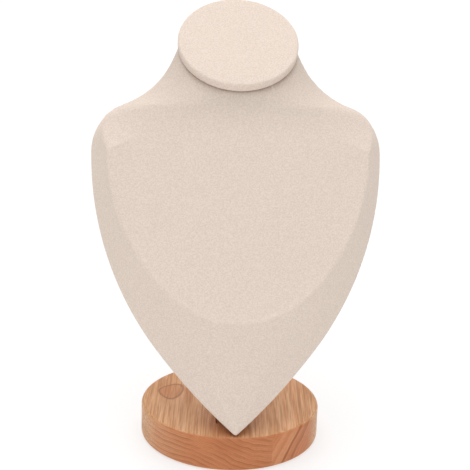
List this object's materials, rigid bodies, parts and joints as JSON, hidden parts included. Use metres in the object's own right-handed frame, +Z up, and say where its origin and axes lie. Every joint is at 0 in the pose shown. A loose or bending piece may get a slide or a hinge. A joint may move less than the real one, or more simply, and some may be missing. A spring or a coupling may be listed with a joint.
{
  "type": "necklace stand",
  "caption": "Tabletop necklace bust covered in pale napped cloth, leaning back on a wooden strip that plugs into a round wooden base.",
  "frame": {"origin": "middle of the felt pad's underside, on the surface that the stand stands on", "axes": "+Z up, the front of the bust faces -Y, +X to the right as seen from the front"},
  "size_m": [0.1728, 0.1116, 0.266],
  "materials": {
    "base_wood": "satin, glued from three staves",
    "strip_wood": "satin",
    "core_board": "matt fibreboard, hidden",
    "panel_board": "matt board, hidden",
    "suede_cloth": "short matt nap",
    "felt": "matt felt",
    "screw_steel": "satin, countersunk heads"
  },
  "bodies": {
    "root": {"base": "base_wood", "base_pad": "felt", "support_strip": "strip_wood", "strip_screws": "screw_steel", "bust_core": "core_board", "bust_cover": "suede_cloth", "back_panel": "panel_board", "back_panel_cover": "suede_cloth", "cap_board": "panel_board", "cap_cover": "suede_cloth"}
  },
  "joints": []
}
